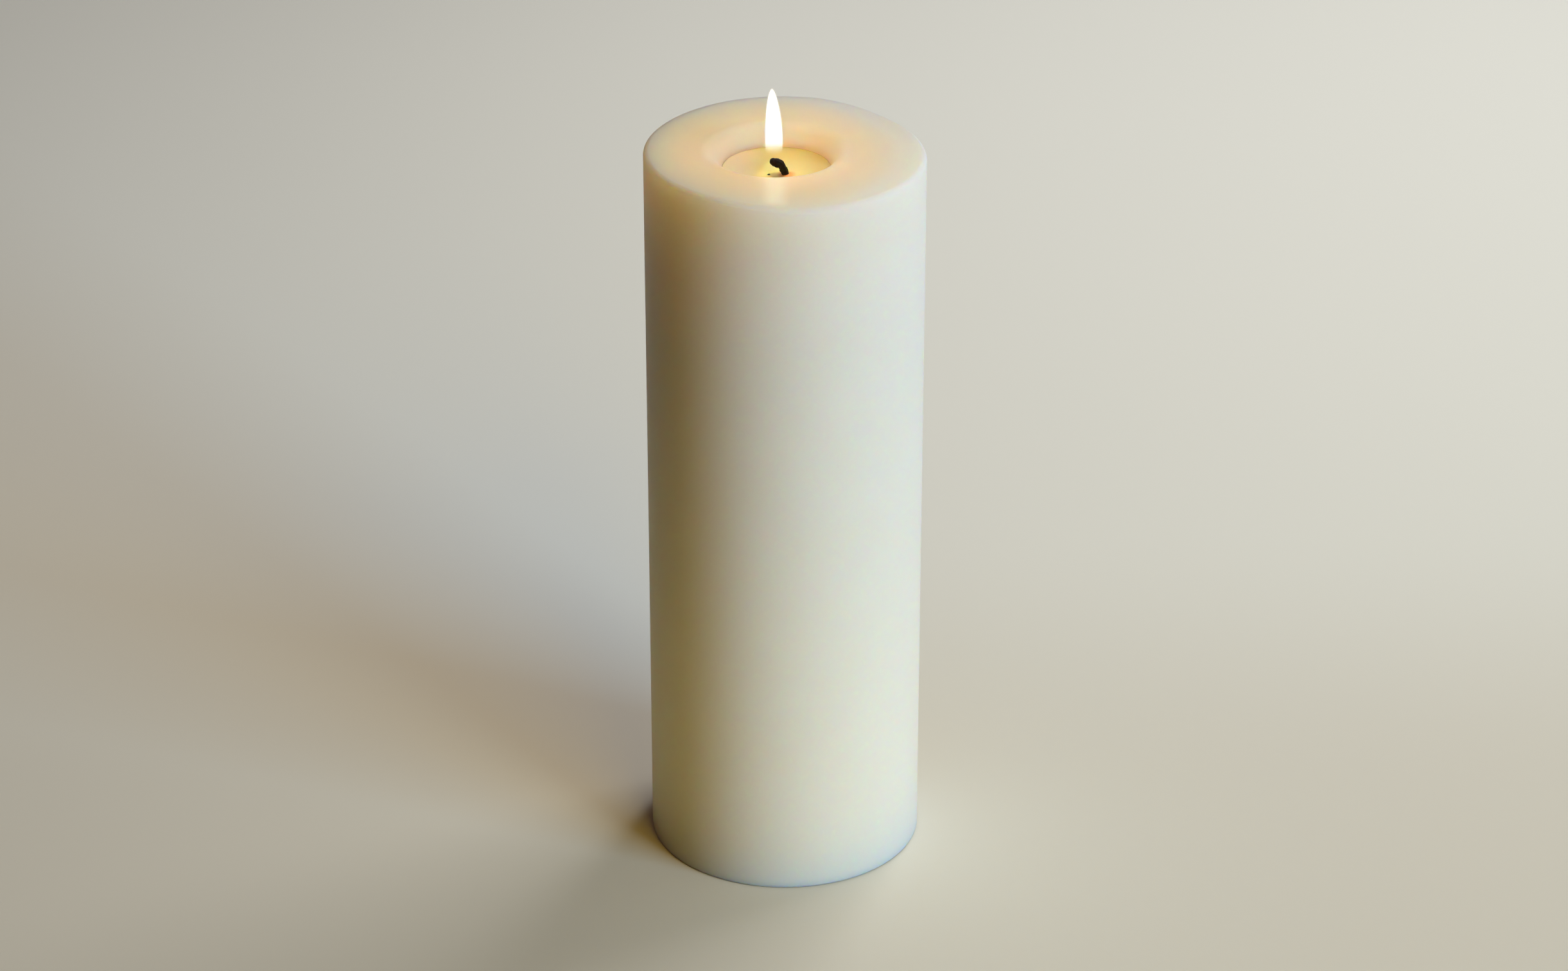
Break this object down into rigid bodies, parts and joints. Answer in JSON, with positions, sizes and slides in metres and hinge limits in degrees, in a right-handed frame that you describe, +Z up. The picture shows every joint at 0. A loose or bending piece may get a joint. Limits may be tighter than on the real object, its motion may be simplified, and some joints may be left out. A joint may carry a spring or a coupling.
{
  "type": "pillar candle",
  "caption": "Tall cylindrical wax pillar candle, lit, with a burn well, melt pool, curled wick, flame and wick tab.",
  "frame": {"origin": "centre of the base, on the surface that the candle stands on", "axes": "+Z up along the candle's axis; -Y is the front, which the picture looks at"},
  "size_m": [0.075, 0.075, 0.2246],
  "materials": {
    "wax": "satin",
    "liquid_wax": "polished",
    "wick_cotton": "matte",
    "tinplate": "satin",
    "flame": "matte"
  },
  "bodies": {
    "root": {"wax_body": "wax", "melt_pool": "liquid_wax", "wick": "wick_cotton", "wick_tab": "tinplate", "flame": "flame"}
  },
  "joints": []
}
